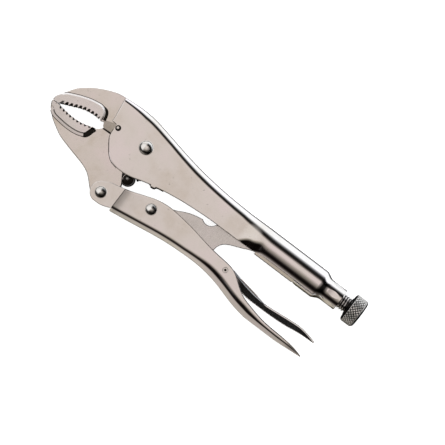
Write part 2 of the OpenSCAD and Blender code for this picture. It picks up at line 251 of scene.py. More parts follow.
def soften(o, sharp, weighted=True):
    """Smooth shading that breaks at edges sharper than the angle."""
    o.data.polygons.foreach_set("use_smooth", [True] * len(o.data.polygons))
    o.data.set_sharp_from_angle(angle=radians(sharp))
    if weighted:
        w = o.modifiers.new("normals", "WEIGHTED_NORMAL")
        w.keep_sharp, w.weight = True, 60


def build(name, verts, faces, mat, sharp=32.0, weighted=True):
    me = bpy.data.meshes.new(name)
    me.from_pydata([world(v) for v in verts], [], [tuple(int(i) for i in f) for f in faces])
    bm = bmesh.new()
    bm.from_mesh(me)
    bmesh.ops.remove_doubles(bm, verts=bm.verts, dist=2e-6)
    bmesh.ops.dissolve_degenerate(bm, edges=bm.edges, dist=1e-6)
    bmesh.ops.recalc_face_normals(bm, faces=bm.faces)
    bmesh.ops.delete(bm, geom=[v for v in bm.verts if not v.link_faces], context="VERTS")
    bm.to_mesh(me)
    bm.free()
    me.materials.append(mat)
    o = put(name, me)
    soften(o, sharp, weighted)
    return o


def cut(o, tool):
    """Takes the tool out of o, and removes the tool."""
    o.modifiers.clear()
    m = o.modifiers.new("cut", "BOOLEAN")
    m.operation, m.solver, m.object = "DIFFERENCE", "EXACT", tool
    dg = bpy.context.evaluated_depsgraph_get()
    me = bpy.data.meshes.new_from_object(o.evaluated_get(dg))
    o.modifiers.clear()
    old = o.data
    o.data = me
    bpy.data.meshes.remove(old)
    bpy.data.objects.remove(tool)
    soften(o, 32)


def claim(o, body, slot, *nodes):
    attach(o, body)
    if nodes:
        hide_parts(*nodes)
    return o


def between(u, v, a, b, s):
    """The value at s, on the line from u at a to v at b."""
    return (b - s) / (b - a) * u + (s - a) / (b - a) * v


def smooth_run(q, step):
    """A centripetal spline through the points, in steps of about the given length."""
    a = np.vstack([2 * q[0] - q[1], q, 2 * q[-1] - q[-2]])
    pts = []
    for i in range(1, len(a) - 2):
        p0, p1, p2, p3 = a[i - 1:i + 3]
        t = [0.0]
        for u, v in ((p0, p1), (p1, p2), (p2, p3)):
            t.append(t[-1] + max(norm(v - u), 1e-6) ** 0.5)
        n = max(1, int(norm(p2 - p1) / step))
        for k in range(n):
            s = t[1] + (t[2] - t[1]) * k / n
            a1 = between(p0, p1, t[0], t[1], s)
            a2 = between(p1, p2, t[1], t[2], s)
            a3 = between(p2, p3, t[2], t[3], s)
            pts.append(between(between(a1, a2, t[0], t[2], s), between(a2, a3, t[1], t[3], s), t[1], t[2], s))
    return pts + [q[-1]]


def curve(points, step=0.9):
    """A smooth line through the points. A point with a third value is a corner."""
    runs, run = [], []
    for p in points:
        run.append(p)
        if len(p) > 2 and len(run) > 1:
            runs.append(run)
            run = [p]
    if len(run) > 1:
        runs.append(run)
    out = []
    for run in runs:
        q = np.array([p[:2] for p in run], float)
        if len(q) == 2:
            n = max(1, int(norm(q[1] - q[0]) / (step * 2)))
            pts = [q[0] + (q[1] - q[0]) * k / n for k in range(n + 1)]
        else:
            pts = smooth_run(q, step)
        out += [tuple(p) for p in (pts[1:] if out else pts)]
    return out


def ring(centre, r, degrees):
    """Points of a circle at the given angles."""
    return [(centre[0] + r * cos(a), centre[1] + r * sin(a)) for a in map(radians, degrees)]


def with_round(points, r):
    """Gives each outline point its rounding: one value, or one across and one in height."""
    return [(p[0], p[1], *(r if isinstance(r, tuple) else (r, r))) for p in points]


def wrap(rows, n):
    """Faces between rows of n points, where each row closes on itself."""
    return [(r * n + i, r * n + (i + 1) % n, (r + 1) * n + (i + 1) % n, (r + 1) * n + i)
            for r in range(rows - 1) for i in range(n)]


def buried(pts, q):
    """The outline points that the rounding of a sharp corner near them swallows."""
    drop = set()
    for i in range(len(pts)):
        u, v = q[i] - q[i - 1], q[(i + 1) % len(pts)] - q[i]
        turn = atan2(u[0] * v[1] - u[1] * v[0], float(np.dot(u, v)))
        if turn > radians(28) and pts[i][2] > 0.05 and i not in drop:
            reach = 1.1 * pts[i][2] * tan(turn / 2)
            drop |= {j for j in range(len(pts)) if j != i and norm(q[j] - q[i]) < reach}
    return drop


def prism(name, outline, z0, z1, mat, seg, sharp=32.0, side=0):
    """A plate whose edges are rounded: each outline point is (x, y, rounding across, rounding in height).
    side is 1 or -1 where only the upper or only the lower edges are rounded."""
    pts = []
    for p in outline:
        if not pts or hypot(p[0] - pts[-1][0], p[1] - pts[-1][1]) > 0.02:
            pts.append(p)
    if hypot(pts[0][0] - pts[-1][0], pts[0][1] - pts[-1][1]) <= 0.02:
        pts.pop()
    q = np.array([p[:2] for p in pts])
    if np.sum(q[:, 0] * np.roll(q[:, 1], -1) - np.roll(q[:, 0], -1) * q[:, 1]) < 0:
        pts, q = pts[::-1], q[::-1]
    drop = buried(pts, q)
    pts = [p for i, p in enumerate(pts) if i not in drop]
    q = np.array([p[:2] for p in pts])
    n = len(pts)
    e = np.roll(q, -1, 0) - q
    e /= norm(e, axis=1)[:, None]
    nrm = np.stack([-e[:, 1], e[:, 0]], 1)  # inward
    bis = nrm + np.roll(nrm, 1, 0)
    bis /= np.maximum(norm(bis, axis=1)[:, None], 1e-6)
    inset = bis / np.maximum(np.sum(bis * nrm, axis=1), 0.5)[:, None]
    rh = np.array([p[2] for p in pts])[:, None]
    rings = []
    for z, sign in ((z0, -1), (z1, 1)):
        rounded = side * sign >= 0
        rv = np.array([p[3] if rounded else 0.0 for p in pts])
        for k in range(seg + 1 if rounded else 1)[::sign]:
            t = pi / 2 * k / seg
            rings.append((q + inset * rh * (1 - cos(t)), z - sign * rv * (1 - sin(t))))
    verts = [(xy[i][0], xy[i][1], z[i]) for xy, z in rings for i in range(n)]
    ends = [tuple(range(n))[::-1], tuple(range((len(rings) - 1) * n, len(rings) * n))]
    return build(name, verts, wrap(len(rings), n) + ends, mat, sharp)


def plate(name, outline, half, mat, seg, body, slot, *nodes):
    """A plate across the middle of the tool."""
    return claim(prism(name, outline, -half, half, mat, seg), body, slot, *nodes)


def pair(name, outline, low, high, mat, body, slot, seg=1, sharp=32.0, outside=False):
    """The same plate on the top side and on the underside. outside leaves its hidden edges square."""
    for sign, end in ((1, "_top"), (-1, "_under")):
        z = sorted((sign * low, sign * high))
        claim(prism(name + end, outline, *z, mat, seg, sharp, sign if outside else 0), body, slot)


def lathe(profile, centre, axis="z", turns=64, radial=None, closed=False):
    """Points of (distance along the axis, radius) turned about it. radial(along, angle, radius) may
    dent them, and closed joins the profile's end to its start."""
    verts, faces = [], []
    m = len(profile)
    for k in range(turns):
        a = 2 * pi * k / turns
        for h, r in profile:
            rr = radial(h, a, r) if radial else r
            c, s = rr * cos(a), rr * sin(a)
            step = (c, s, h) if axis == "z" else (h, c, s)
            verts.append(tuple(p + d for p, d in zip(centre, step)))
        near, far = k * m, (k + 1) % turns * m
        faces += [(near + i, far + i, far + i + 1, near + i + 1) for i in range(m - 1)]
        if closed:
            faces.append((near + m - 1, far + m - 1, far, near))
    return verts, faces


def turned(name, profile, centre, mat, body, slot, *nodes, sharp=32.0, weighted=True, **how):
    """A turned piece. The rest of how it is made goes to lathe()."""
    return claim(build(name, *lathe(profile, centre, **how), mat, sharp, weighted), body, slot, *nodes)


def mirrored(half):
    """A profile's upper half, with the same below it."""
    return [(-h, r) for h, r in half[::-1]] + half


def ease(x, a, b):
    f = min(1.0, max(0.0, (x - a) / (b - a)))
    return f * f * (3 - 2 * f)


def interp(line, x):
    return float(np.interp(x, [p[0] for p in line], [p[1] for p in line]))


def offset(line, d):
    """The line moved to its left by a distance, or by one distance for each of its points."""
    q = np.array([p[:2] for p in line], float)
    t = np.gradient(q, axis=0)
    t /= np.maximum(norm(t, axis=1)[:, None], 1e-9)
    return [tuple(p) for p in q + np.stack([-t[:, 1], t[:, 0]], 1) * np.reshape(d, (-1, 1))]


def sheet_rim(point_o, point_i, out, r):
    """The rounded edge of a sheet, from its outer face to its inner one."""
    n = (point_i - point_o) / max(norm(point_i - point_o), 1e-9)
    return [point_o - out * r, point_o - out * r * 0.3 + n * r * 0.3, point_o + n * r,
            point_i - n * r, point_i - out * r * 0.3 - n * r * 0.3, point_i - out * r]


def skin(name, stations, mat, flip=1.0, rim=0.4, lead=None):
    """A bent sheet. Each station is the outer points, from one open edge round to the other, and the sheet's
    thickness. rim is the rounding of its edges and lead, where it differs, that of its two ends."""
    last = len(stations) - 1
    nose = rim if lead is None else lead
    at_end = [(nose * (1 - cos(t)), nose * (1 - sin(t))) for t in (pi / 2, pi / 4)]
    seq = [(0, shrink, dx) for shrink, dx in at_end] + [(0, 0.0, nose)]
    seq += [(i, 0.0, 0.0) for i in range(1, last)]
    seq += [(last, 0.0, -nose)] + [(last, shrink, -dx) for shrink, dx in at_end[::-1]]
    verts = []
    for i, shrink, dx in seq:
        pts, t = stations[i]
        p = np.array(pts, float)
        yz = p[:, 1:]
        d = np.gradient(yz, axis=0)
        d /= np.maximum(norm(d, axis=1)[:, None], 1e-9)
        nrm = np.stack([d[:, 1], -d[:, 0]], 1) * flip  # towards the inside
        x = p[:, 0] + dx
        outer = yz + nrm * shrink
        inner = yz + nrm * (t - shrink)
        r = min(rim, t * 0.45)
        verts += [(x[0], *q) for q in sheet_rim(outer[0], inner[0], -d[0], r)[::-1]]
        verts += [(x[k], *outer[k]) for k in range(1, len(x) - 1)]
        verts += [(x[-1], *q) for q in sheet_rim(outer[-1], inner[-1], d[-1], r)]
        verts += [(x[k], *inner[k]) for k in range(len(x) - 2, 0, -1)]
    h = len(stations[0][0]) - 2  # points between the two rims
    m = 2 * h + 12
    faces = wrap(len(seq), m)
    for base in (0, (len(seq) - 1) * m):
        o = range(base + 6, base + 6 + h)
        inn = range(base + 12 + h, base + m)[::-1]
        faces += [tuple(range(base, base + 6)), tuple(range(base + 6 + h, base + 12 + h))]
        faces.append((base + 5, o[0], inn[0], base))
        faces += [(o[k], o[k + 1], inn[k + 1], inn[k]) for k in range(h - 1)]
        faces.append((o[-1], base + 6 + h, base + 11 + h, inn[-1]))
    return build(name, verts, faces, mat, sharp=38)


# ------ upper handle
def walk(start, path, steps=12):
    """A line of straight runs (length, 0) and arcs (turn in degrees, radius), left turns positive."""
    x, y, h = start
    out = [(x, y)]
    for a, r in path:
        start_h = radians(h)
        for k in range(1, steps + 1):
            if r == 0:
                far = a * k / steps
                out.append((x + far * cos(start_h), y + far * sin(start_h)))
            else:
                s, g = copysign(r, a), radians(h + a * k / steps)
                over, up = sin(g) - sin(start_h), cos(g) - cos(start_h)
                out.append((x + s * over, y - s * up))
        x, y = out[-1]
        h += a if r else 0
    return out


FRONT_X = -28.3  # the front edge at its lower end
FRONT_RISE = 9  # degrees that the back climbs at the front edge
BACK_R = 80  # radius of the back's crown
UP_LINE = walk((-28.5, UPPER[1][1] - BACK_R * (1 - cos(radians(FRONT_RISE))), FRONT_RISE),
               [(-20.5, BACK_R), (20.5, 0), (10, 300), (10, 0)])
CHEEK_EDGE = [(-24.3, -6), (-23.7, -8.5), (-22.4, -10.9), (-20.2, -14), (-17, -18), (-13, -21)]
UP_LOWER = curve([
    (-28.4, 0.6), (-24.7, 0.4, 0), (-24.5, -1.4, 0), *CHEEK_EDGE, (-8, -22.2), (-2, -22.2), (4, -21.2),
    (10, -19.4), (17.2, -17.5, 0), (17.4, -18.5, 0), (20.2, -18.0, 0), (20.5, -16.9, 0), (28, -15.5),
    (40, -13.8), (48, -13.1), (60, -12.3), (74, -12.1), (90, -12.1)])
# how far the front edge leans forward at each height, and the radius of the bends along the back
UP_FRONT = [(0.6, 0.0), (4, -0.1), (12, -1.3), (17, -2.0), (20, -2.3)]
UP_BEND = [(-29, 3.0), (-20, 4.4), (-12, 5.4), (12, 5.5), (24, 5.9), (36, 6.3), (60, 6.4), (78, 7.0),
           (90, 8.4), (104, TUBE_R)]
FLANK_FROM, TUBE_FROM = 82.5, 115  # where the sides start to turn in, and where the tube is round
SLOT_CLOSES = (128, 133)


def section(top, bottom, w, rt, rb, end, flat=0.0, arc=13, rest=32):
    """Half of a bent sheet's outline, from the middle of its back round to its open edge, as (y, z) with
    z >= 0. rt and rb are the corner radii at the back and at the open side, end is how far the sheet follows
    the second one, and flat is the length of a straight flank inside it."""
    rz = min(rt, w * 0.985)
    pts = [(top, max(0.02, w - rz) * k / 2) for k in (0, 1)]
    pts += [(top - rt + rt * sin(t), w - rz + rz * cos(t))
            for t in (pi / 2 * (1 - k / arc) for k in range(arc + 1))]
    side = [(top - rt + (bottom + rb - top + rt) * k / 20, w) for k in range(21)]
    if rb > 0.02 and end > 0:
        mid = min(end, DARK_TILT)
        bends = [(mid * k / 8, 0.0) for k in range(1, 9)]
        bends += [(mid + (end - mid) * k / 16, flat) for k in range(17)]
        side += [(bottom + rb - rb * sin(t) - d * cos(mid),
                  w - rb + rb * cos(t) - d * sin(mid)) for t, d in bends]
    d = [0.0]
    for p, q in zip(side, side[1:]):
        d.append(d[-1] + hypot(p[0] - q[0], p[1] - q[1]))
    far = [d[-1] * k / rest for k in range(1, rest + 1)]
    y, z = (np.interp(far, d, [p[i] for p in side]) for i in (0, 1))
    return pts + list(zip(y, z))


def both_sides(half):
    """The whole outline, from one open edge over the back to the other."""
    return half[::-1][:-1] + [(y, -z) for y, z in half]


def upper_station(x):
    """A channel at the jaws, whose sides turn in until it is a round tube with a slot."""
    f = ease(x, 79, 101)
    top = interp(UP_LINE, min(x, 82)) * (1 - f) + (AXIS_Y + TUBE_R) * f
    w = UP_W + (TUBE_R - UP_W) * ease(x, 80, 100)
    rt = interp(UP_BEND, x)
    gap = pi / 2 - asin(SLOT_W / TUBE_R)
    edge = interp(UP_LOWER, min(x, 90)) * (1 - f) + (AXIS_Y - TUBE_R * sin(gap)) * f
    end, rb, flat = 0.0, 0.0, 0.0
    if x > FLANK_FROM:
        first = radians(29)
        end = first * ease(x, 81, 90) + (gap - first) * ease(x, 92, 105)
        end += (radians(89.4) - gap) * ease(x, *SLOT_CLOSES)
        rb = 6 + (TUBE_R - 6) * ease(x, 92, 106)
        mid = min(end, DARK_TILT)
        across = (w - SLOT_W - rb * (1 - cos(end))) / sin(mid)
        down = (top - rt - 0.3 - edge - rb * sin(end)) / cos(mid)
        flat = max(0.0, min(4.2 * ease(x, 83, 93) * (1 - ease(x, 96, TUBE_FROM)), across, down))
        edge += flat * cos(mid)
    bottom = edge - rb * (1 - sin(end))
    if x > TUBE_FROM:
        top, bottom, w, rt, rb = AXIS_Y + TUBE_R, AXIS_Y - TUBE_R, TUBE_R, TUBE_R, TUBE_R
    pts = both_sides(section(top, bottom, w, rt, rb, end, flat))
    lean = max(0.0, 1 - (x - FRONT_X) / 5.0)
    k = 1 + (OVAL - 1) * f
    return [(x + lean * interp(UP_FRONT, p[0]), AXIS_Y + (p[0] - AXIS_Y) * k, p[1]) for p in pts], SHEET


xs = [FRONT_X + 0.5 * k for k in range(8)] + [-24.62, -24.48, -24.3, -23.9]
xs += [*np.arange(-23.4, 17, 0.9), 17.2, 17.42, 18, 19, 20.15, 20.5, *np.arange(21.5, 70, 1.6)]
xs += [*np.arange(70, 102, 0.8), *np.arange(103, 126, 3), *np.arange(127, 134.5, 0.5)]
xs += [138, 142, SHOULDER_X - 0.1]
upper = skin("handle_upper_shell", [upper_station(x) for x in xs], SHEET_STEEL, lead=0.1)
claim(upper, "frame", "plated_steel", "upper_handle")
relief = mirrored([(40, 2.0), (40, 0.0001)])
cut(upper, build("tool", *lathe(relief, STOP_PIN, turns=48), SHEET_STEEL, weighted=False))

# the turned edges of the slot under the tube, where the link passes; the near-black strip along them is
# painted shade
y0 = AXIS_Y - TUBE_R * OVAL
for name, hi, lo, top, mat in (("lip", 2.35, 0.5, 6.3, LIP_STEEL), ("lip_edge_shade", 0.55, 0.08, 4.9, DARK_SHADE_STEEL)):
    lip = [(98, y0 + hi), (99.2, y0 + lo), (128.8, y0 + lo), (130, y0 + min(0.9, hi)), (130, y0 + hi)]
    pair("handle_slot_" + name, with_round(lip, 0.05), 3.6, top, mat, "frame", "plated_steel")

# painted shade: a near-black strip under the cheek's edge at the tab
tab = curve([
    (16.0, -18.2, 0), (16.6, -18.3), (17.3, -18.3), (17.6, -19.0), (20.3, -18.7), (21.2, -17.4),
    (26, -16.4, 0)])
tab += [(26, -15.4), (16.0, -16.9)]
plate("handle_inner_edge", with_round(tab, 0.1), 5.6, DARK_SHADE_STEEL, 2, "frame", "plated_steel")
# a low raised arc in the brighter rivet plating; its extra brightness is a painted highlight
mark = ring((75.4, -2.6), 8.9, range(-32, 30, 6)) + ring((75.7, -2.6), 7.7, range(24, -28, -6))
pair("press_mark", with_round(mark, 0.02), UP_W - 0.8, UP_W + 0.03, RIVET_STEEL, "frame", "plated_steel")

# the necked end, crimped in lens-shaped flutes round the screw's insert
SHOULDER = 7  # length of the slope from the tube down to the neck
ROUND_BY = 5.6  # the oval has become round this far along it
FLUTE = pi / 3  # six flutes round the neck
FLUTE_X = (SHOULDER_X + NECK_X + ROUND_BY) / 2
FLUTE_HALF, FLUTE_DEEP = 4.3, 0.25


def crimp(h, a, r):
    if r < NECK_R - 0.6 or h < SHOULDER_X + 6.5 or h > NECK_X - 0.3:
        return r
    u = (h - FLUTE_X) / FLUTE_HALF
    flat = NECK_R - FLUTE_DEEP * max(0.0, 1 - u * u)
    k = (a - radians(87)) / FLUTE
    return min(r, flat / cos((k - round(k)) * FLUTE))


prof = [(SHOULDER_X - 0.2, TUBE_R - 1.9), (SHOULDER_X - 0.2, TUBE_R - 0.02), (SHOULDER_X, TUBE_R - 0.01)]
prof += [(SHOULDER_X + SHOULDER * f, TUBE_R + (NECK_R - TUBE_R) * ease(f, 0, 1))
         for f in (k / 16 for k in range(1, 17))]
neck_from = SHOULDER_X + SHOULDER
prof += [(neck_from + (NECK_X - 0.35 - neck_from) * k / 60, NECK_R) for k in range(1, 61)]
prof += [(NECK_X - 0.1, NECK_R - 0.1), (NECK_X, NECK_R - 0.35), (NECK_X, 6.5), (NECK_X - 0.2, 6.3),
         (SHOULDER_X + 6, 6.3), (SHOULDER_X + 0.5, TUBE_R - 2)]
verts, faces = lathe(prof, AXIS, "x", 240, crimp, closed=True)
verts = [(x, AXIS_Y + (y - AXIS_Y) * (1 + (OVAL - 1) * (1 - ease(x, SHOULDER_X, SHOULDER_X + ROUND_BY))), z)
         for x, y, z in verts]
claim(build("handle_neck", verts, faces, SHEET_STEEL, sharp=9, weighted=False), "frame", "plated_steel")

# ------ jaws
UP_GRIP = [(-64, -11), (-60, -9.5), (-56, -7.9), (-52, -6.1), (-48, -4.7), (-44, -4), (-40, -3.7),
           (-36, -3.9)]
LOW_GRIP = [(-63, -11.8), (-58, -12.4), (-53, -12.9), (-49, -12.9), (-44, -12.4), (-40, -11.4),
            (-36, -10)]
PITCH = 2.85  # from tooth to tooth
FORGED = (0.7, 0.7)  # rounding of the forgings' outer edges
TEETH_SHADE_HALF = 4.6  # half the thickness of the near-black plate behind the teeth: painted shade in the gaps between them


def teeth(line, x_start, x_end, depth, gap):
    """Square-cut teeth along a line. gap says where a tooth ends and where the floor starts and ends."""
    out, x = [], x_start
    while x < x_end:
        for f, d in ((0.0, 0.0), (gap[0], 0.0), (gap[1], depth), (gap[2], depth)):
            xx = x + f * PITCH
            out.append((xx, interp(line, xx) + d))
        x += PITCH
    return out


def beside(line, d, xs):
    """Points at a height above or below a line."""
    return [(x, interp(line, x) + d) for x in xs]


def foot(name, wall, z, owner, side, wide, end, mat=DARK_SHADE_STEEL):
    """Painted shade at the foot of a wall: a dark band, which widens towards the throat."""
    widths = [(wide + (end - wide) * ease(p[0], -39.5, -35.5)) * side for p in wall]
    band = offset(wall, widths)[1:] + wall[::-1][:-1]
    pair(name, with_round(band, 0.0), z - 0.3, z + 0.02, mat, owner, "forged_steel", outside=True)


def pad(name, wall, rim, grip, low, high, owner, run, rise):
    """A raised pad: a sloped wall from the tip round to the throat, the plain rim at the tip, the teeth."""
    out = with_round(wall, (run, rise)) + with_round(grip, (0.07, 0.1)) + with_round(rim, (0.5, 0.5))
    pair(name, out, low - 0.6, high, GRIP_STEEL, owner, "forged_steel", sharp=25, outside=True)


# upper jaw: the body above the ledge
outer = curve([
    (TIP_X, -11.3, 0), (-68.0, -8), (-66, -5), (-63.5, -1), (-60, 4), (-56, 7.5), (-52, 10.5),
    (-48, 12.8), (-44, 14.8), (-40, 16.5), (-36, 17.8), (-30.6, 18.5), (-28.8, 18.3, 0)])
tang_back = [(-28.7, 16.3), (-26, 16.5), (-20, 17), (-14, 17), (-8, 16.5), (-5, 15.5)]
tang_front = [(-5, 12.4), (-7, 10.4), (-10.6, 6), (-12.4, -0.5), (-16, -3.5), (-24.4, -6.0)]
body = with_round(outer, FORGED) + with_round(tang_back, 0.2) + with_round(tang_front, 0.12)
body += with_round([(-30.5, -6.55), (-31.6, -5.4), (-32.6, -3.2), (-35.2, -3.9)], 0.15)
mouth = [(-37.5, -1.6)] + beside(UP_GRIP, 2.4, range(-40, -62, -3)) + [(-63, -9), (-64.2, -11.3)]
body += with_round(mouth, 0.1)
jaw_up = plate("jaw_upper_body", body, CHEEK_IN, JAW_STEEL, 4, "frame", "forged_steel", "upper_jaw")
# painted shade: a near-black plate behind the teeth fills the gaps between them
core = beside(UP_GRIP, 4, range(-38, -60, -3)) + [(-62, -9.5), (-63.4, -10.9)]
core += beside(UP_GRIP, 0.25, np.arange(-63, -36, 1.0))
plate("jaw_upper_teeth_shade", with_round(core, 0.05), TEETH_SHADE_HALF, DARK_SHADE_STEEL, 1, "frame", "forged_steel")

# the cutter's blade is ground back behind the front edge of the handle
ground = [(-33.2, -2.0), (-32.4, -1.6), (-28.5, -0.3), (-24.2, 1.1), (-21, 1.6), (-20.5, -9), (-33.2, -9)]
n = len(ground)
for sign in (1, -1):
    verts = [(x, y, sign * (CHEEK_IN - 0.35 - 0.14 * max(0.0, 1.2 - y))) for x, y in ground]
    verts += [(x, y, sign * 9.0) for x, y in ground]
    faces = wrap(2, n) + [tuple(range(n))[::-1], tuple(range(n, 2 * n))]
    cut(jaw_up, build("tool", verts, faces, JAW_STEEL, weighted=False))
# painted shade: a near-black strip in the gap below the cutter, between the jaws
seam = with_round([(-30.6, -6.62), (-24.4, -6.08), (-24.4, -7.2), (-30.6, -7.4)], 0.0)
pair("cutter_gap_shade", seam, 3.9, 5.52, DARK_SHADE_STEEL, "jaw", "forged_steel")
# the stop pin is near black as painted shade of the hole it stands in
ball = [(5.2, 1.95), (5.6, 1.95)]
ball += [(5.6 + 1.7 * sin(t), 0.45 + 1.45 * cos(t))
         for t in (pi / 2 * k / 9 for k in range(10))] + [(7.3, POINT)]
turned("cutter_stop_pin", mirrored(ball), STOP_PIN, DARK_SHADE_STEEL, "frame", "forged_steel", turns=40)
# the small bright cone off the pin's centre is a painted highlight
turned("cutter_pin_tip", mirrored([(7.0, 1.15), (7.3, 0.8), (7.42, POINT)]), (-22.75, -0.6, 0),
       TURNED_STEEL, "frame", "forged_steel", turns=32)

# the shadow under the handle's front edges
edge = curve([(-24.45, -2.2, 0), *CHEEK_EDGE, (-8, -22.2, 0)])
front_edge = [(FRONT_X + interp(UP_FRONT, y), y) for y in np.arange(0.9, 17.8, 1.2)]
front_band = [(x - 0.3, y) for x, y in front_edge] + [(x + 0.6, y) for x, y in front_edge[::-1]]
for name, line in (("cheek_shadow", offset(edge, -0.4)[1:] + offset(edge, 0.6)[::-1][:-1]),
                   ("front_shadow", front_band)):
    pair(name, with_round(line, 0.0), CHEEK_IN + 0.02, CHEEK_IN + 0.5, DARK_SHADE_STEEL, "frame", "plated_steel")

wall = curve([
    (-65.4, -4.2, 0), (-64, -2.7), (-60, -0.6), (-56, 1.2), (-52, 2.7), (-48, 3.9), (-44, 4.7),
    (-40.4, 5.1), (-37.4, 4.1), (-35.2, 2), (-34.4, 0), (-33.9, -2.6, 0)])
grip = [(-34.9, -3.9)] + teeth(UP_GRIP, -63.6, -36.5, 2.1, (0.1, 0.34, 0.72))[::-1] + [(-64.2, -11.3)]
rim = curve([(TIP_X, -11.3, 0), (-68.0, -8), (-66, -5, 0)])
pad("jaw_upper_pad", wall, rim, grip, CHEEK_IN, PAD_Z, "frame", 1.22, PAD_Z - CHEEK_IN + 0.02)
foot("jaw_upper_foot_shade", wall, CHEEK_IN, "frame", 1, 0.38, 2.0)

# lower jaw
LOW_JAW_T = CHEEK_IN - 0.3
SEAT_R = 5.05  # the spring's seat round the peg
hub = ring((0, 0), 11.5, range(-14, 195, 5))
eye = ring(P_JAW, 6.8, range(215, 372, 7))
front = curve([
    (TIP_X, -12.6, 0), (-67.4, -15), (-65.8, -17.2), (-64, -19), (-62, -21), (-58, -23.7), (-54, -26),
    (-50, -28), (-41, -30.6), (-30, -33.3), (-26, -34.5), (-22, -36.3), (-19, -38.6), (-15.5, -42),
    (-12.4, -44.9, 0)])
back_edge = curve([
    (P_JAW[0] + 6.6, P_JAW[1] + 1.6, 0), (2, -33), (1.4, -28.8), (-1.2, -25), (-2.5, -22.5), (1, -17),
    (6, -11.5), (11.2, -2.8, 0)])
body = with_round([(-34.2, -10.2), (-31.8, -8.4), (-30.7, -6.75), (-24.5, -6.15), (-12.5, -3.6)], 0.12)
body += with_round([p for p in hub[::-1] if p[0] > -11.2 or p[1] > -2.6], 0.3)
clear = [p for p in back_edge[::-1][1:] if hypot(p[0] - PEG[0], p[1] - PEG[1]) > SEAT_R + 0.1]
body += with_round(clear, 0.5)
body += with_round(eye[::-1], 0.4) + with_round(front[::-1], FORGED)
mouth = [(TIP_X + 0.2, -11.7), (-64.2, -11.7)] + beside(LOW_GRIP, -2.2, range(-62, -36, 3))
body += with_round(mouth, 0.1)
plate("jaw_lower_body", body, LOW_JAW_T, JAW_STEEL, 4, "jaw", "forged_steel", "lower_jaw")
# painted shade: a near-black plate behind the teeth fills the gaps between them
core = beside(LOW_GRIP, -4, range(-37, -60, -3))
core += [(-62, -13.5), (-67.9, -12.2), (-68.0, -11.42), (-63.2, -11.42)]
core += beside(LOW_GRIP, -0.3, np.arange(-62.4, -35, 1.0))
plate("jaw_lower_teeth_shade", with_round(core, 0.05), TEETH_SHADE_HALF, DARK_SHADE_STEEL, 1, "jaw", "forged_steel")

# its pad stands on a low step
STEP = LOW_JAW_T + 0.5
wall = curve([
    (-66, -17.2, 0), (-63.6, -19.2), (-61, -20.2), (-56, -20.9), (-50, -21.3), (-44, -20.9), (-40, -19.9),
    (-37, -18.3), (-35.6, -16), (-34.8, -13), (-33.9, -10.6, 0)])
grip = [(-34.6, -10.2)] + teeth(LOW_GRIP, -62.6, -36, -1.5, (0.2, 0.5, 0.68))[::-1] + [(-64.2, -11.7)]
rim = curve([(TIP_X, -12.3, 0), (-67.4, -15), (-66.3, -16.8, 0)])
inner = [p for p in offset(wall, 2.0) if p[0] < -35.6]
inner[-1] = (wall[-1][0] - 1.0, wall[-1][1] + 0.2)
pad("jaw_lower_step", wall, rim, grip, LOW_JAW_T, STEP, "jaw", 2.2, 0.2)
foot("jaw_lower_foot_shade", wall, LOW_JAW_T, "jaw", -1, 0.42, 1.1)
pad("jaw_lower_pad", inner, rim[:-2], grip, STEP, PAD_Z, "jaw", 0.45, PAD_Z - STEP + 0.02)
foot("jaw_lower_line", inner, STEP, "jaw", -1, 0.4, 0.4, PEG_STEEL)
# painted shade: a near-black patch where the pad's walls meet at the throat
throat_shade = [p for p in wall if p[0] > -38.6] + [p for p in inner[::-1] if p[0] > -39.2]
pair("jaw_lower_throat_shade", with_round(throat_shade, 0.0), STEP - 0.5, STEP + 0.03, DARK_SHADE_STEEL,
     "jaw", "forged_steel", outside=True)

# the peg that holds the spring, its seat and the web behind it
# the peg and its seat are near black: dark steel, deepened as painted shade round the spring's hook
turned("spring_peg", mirrored([(3.1, 3.2), (3.5, 1.2), (3.5, POINT)]), PEG, DARK_SHADE_STEEL, "jaw", "forged_steel")
# the grey dome off the peg's centre is a painted highlight
turned("spring_peg_tip", mirrored([(3.4, 1.3), (3.7, 0.8), (3.8, POINT)]), (PEG[0] - 0.2, PEG[1] + 0.3, 0),
       PEG_STEEL, "jaw", "forged_steel", turns=32)
turned("spring_seat", mirrored([(0.9, SEAT_R), (1.1, 4.9), (1.1, POINT)]), PEG, DARK_SHADE_STEEL,
       "jaw", "forged_steel", turns=40)
web = [(-5, PEG[1] - 2.2), (2, PEG[1] - 2.2), (2, PEG[1] + 2.2), (-5, PEG[1] + 2.2)]
plate("spring_peg_web", with_round(web, 0.2), 1.2, JAW_STEEL, 2, "jaw", "forged_steel")

# ------ lower handle
EAR_X = 5.25  # the sheet steps in behind the ears here
LOW_LINE = walk((6.5, -47.4, 9.5), [(28, 0), (-9.5, 200), (-17, 95), (6, 0), (17, 95), (3.5, 350), (14, 0)])
LOW_UPPER = curve([
    (4.6, -29.9), (8, -29), (12, -27.7), (16, -26.2), (20, -24.8), (24, -23.4), (30, -22.1), (36, -21.6),
    (42, -21.9), (54, -23.2), (66, -25.3), (76, -26.9), (86, -27.8), (90, -28.2), (94, -29.2),
    (97, -30.6), (100, -32.8), (104, -35.7), (108, -38.2), (112, -40), (118, -41.6), (124, -43),
    (130, -44.1), (136, -44.7), (148, -45.2), (154, -45.7), (160, -46.7), (163.4, -47.6), (165, -48)])
# how these change along the handle, as (x, value)
LOW_DEEPER = [
    (6, 0.2), (20, 0.6), (40, 0.8), (60, 0.9), (80, 0.7), (100, 0.45), (135, 0.4), (150, 0.15), (164, 0)]
LOW_PAUSE = [(70, 0), (90, 1.5), (118, 1.5), (134, 0.2), (165, 0.2)]
LOW_SLOPE = [(60, 50), (85, 45), (165, 42)]
LOW_SOFT = [(8, 3.4), (60, 4.0), (80, 4.6), (95, 5.0), (120, 4.4), (135, 3.4)]
LOW_FLANK = [(8, 2.3), (20, 2.5), (60, 2.1), (80, 3.2), (100, 4.6), (118, 4.4), (135, 4.0), (165, 3.0)]


